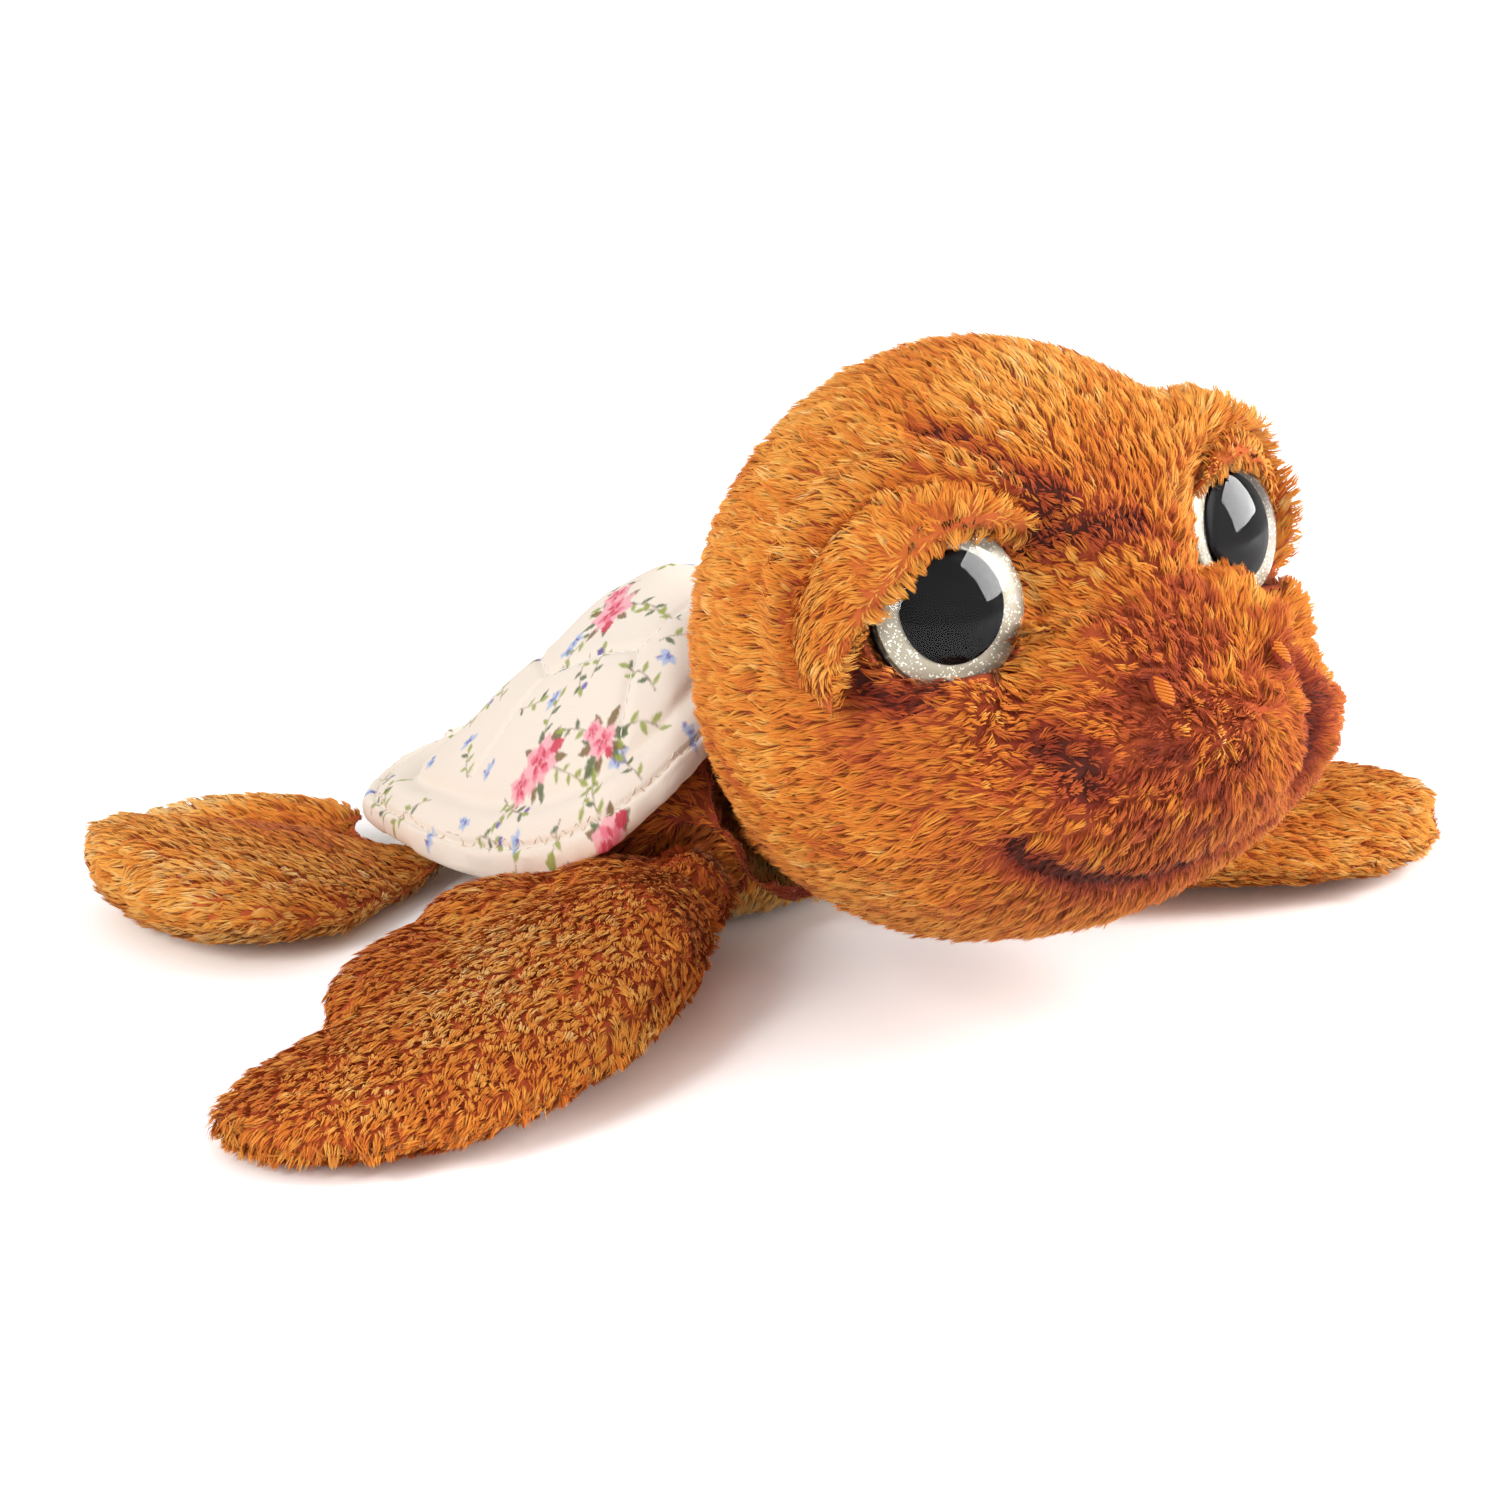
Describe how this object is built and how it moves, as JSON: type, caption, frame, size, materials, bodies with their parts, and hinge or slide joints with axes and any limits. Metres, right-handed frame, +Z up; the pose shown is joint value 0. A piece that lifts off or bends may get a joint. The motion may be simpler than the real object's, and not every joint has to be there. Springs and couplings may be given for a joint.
{
  "type": "plush turtle",
  "caption": "Stuffed sea turtle lying on its belly, with a round head, glossy domed eyes, long-pile plush, a quilted cotton shell and four flippers that turn at their roots.",
  "frame": {"origin": "on the flat of the belly, where it rests, midway between the two sides and under the front of the shell", "axes": "+Z up, -Y the way the toy faces, +X to the toy's own left"},
  "size_m": [0.258, 0.198, 0.1159],
  "materials": {
    "caramel_plush": "matte",
    "chestnut_plush": "matte",
    "golden_plush": "matte",
    "cream_plush": "matte",
    "printed_cotton": "matte",
    "fibre_filling": "matte",
    "pellets": "matte",
    "eye_black": "gloss",
    "eye_glitter": "gloss",
    "eye_clear": "polished",
    "washer_white": "satin",
    "nostril_thread": "satin"
  },
  "bodies": {
    "torso": {"torso_plush": "chestnut_plush", "belly_panel": "cream_plush", "torso_fill": "fibre_filling", "bean_pouch": "pellets", "shell_cover": "printed_cotton", "shell_rim": "printed_cotton", "shell_batting": "fibre_filling", "shell_lining": "printed_cotton"},
    "neck": {"neck_plush": "chestnut_plush", "neck_fill": "fibre_filling"},
    "head": {"eye_cup_left": "eye_black", "eye_cup_right": "eye_black", "eye_iris_left": "eye_glitter", "eye_iris_right": "eye_glitter", "eye_lens_left": "eye_clear", "eye_lens_right": "eye_clear", "eye_pupil_left": "eye_black", "eye_pupil_right": "eye_black", "eye_washer_left": "washer_white", "eye_washer_right": "washer_white", "eyelid_left": "golden_plush", "eyelid_right": "golden_plush", "head_fill": "fibre_filling", "head_plush": "caramel_plush", "jaw_panel": "caramel_plush", "nostril_left": "nostril_thread", "nostril_right": "nostril_thread"},
    "front_flipper_right_base": {"front_flipper_right_root": "chestnut_plush"},
    "front_flipper_right": {"front_flipper_right_upper": "chestnut_plush", "front_flipper_right_under": "caramel_plush", "front_flipper_right_fill": "pellets"},
    "front_flipper_left_base": {"front_flipper_left_root": "chestnut_plush"},
    "front_flipper_left": {"front_flipper_left_upper": "chestnut_plush", "front_flipper_left_under": "caramel_plush", "front_flipper_left_fill": "pellets"},
    "rear_flipper_right_base": {"rear_flipper_right_root": "chestnut_plush"},
    "rear_flipper_right": {"rear_flipper_right_upper": "chestnut_plush", "rear_flipper_right_under": "caramel_plush", "rear_flipper_right_fill": "pellets"},
    "rear_flipper_left_base": {"rear_flipper_left_root": "chestnut_plush"},
    "rear_flipper_left": {"rear_flipper_left_upper": "chestnut_plush", "rear_flipper_left_under": "caramel_plush", "rear_flipper_left_fill": "pellets"}
  },
  "joints": [
    {"name": "head_turn", "type": "hinge", "parent": "torso", "child": "neck", "pos_m": [0, -0.022, 0.03], "axis": [0, 0, 1], "range_deg": [-12, 12]},
    {"name": "head_nod", "type": "hinge", "parent": "neck", "child": "head", "pos_m": [0, -0.022, 0.03], "axis": [-1, 0, 0], "range_deg": [-10, 6]},
    {"name": "front_flipper_right_swing", "type": "hinge", "parent": "torso", "child": "front_flipper_right_base", "pos_m": [-0.031, -0.017, 0.014], "axis": [0, 0, 1], "range_deg": [-8, 20]},
    {"name": "front_flipper_right_lift", "type": "hinge", "parent": "front_flipper_right_base", "child": "front_flipper_right", "pos_m": [-0.031, -0.017, 0.014], "axis": [0, 1, 0], "range_deg": [-12, 10]},
    {"name": "front_flipper_left_swing", "type": "hinge", "parent": "torso", "child": "front_flipper_left_base", "pos_m": [0.031, -0.017, 0.014], "axis": [0, 0, -1], "range_deg": [-20, 2]},
    {"name": "front_flipper_left_lift", "type": "hinge", "parent": "front_flipper_left_base", "child": "front_flipper_left", "pos_m": [0.031, -0.017, 0.014], "axis": [-0.4067, -0.9135, 0], "range_deg": [-12, 12]},
    {"name": "rear_flipper_right_swing", "type": "hinge", "parent": "torso", "child": "rear_flipper_right_base", "pos_m": [-0.035, 0.045, 0.007], "axis": [0, 0, 1], "range_deg": [-8, 15]},
    {"name": "rear_flipper_right_lift", "type": "hinge", "parent": "rear_flipper_right_base", "child": "rear_flipper_right", "pos_m": [-0.035, 0.045, 0.007], "axis": [0.4226, 0.9063, 0], "range_deg": [-12, 2]},
    {"name": "rear_flipper_left_swing", "type": "hinge", "parent": "torso", "child": "rear_flipper_left_base", "pos_m": [0.035, 0.045, 0.007], "axis": [0, 0, -1], "range_deg": [-8, 15]},
    {"name": "rear_flipper_left_lift", "type": "hinge", "parent": "rear_flipper_left_base", "child": "rear_flipper_left", "pos_m": [0.035, 0.045, 0.007], "axis": [0.4226, -0.9063, 0], "range_deg": [-12, 2]}
  ]
}
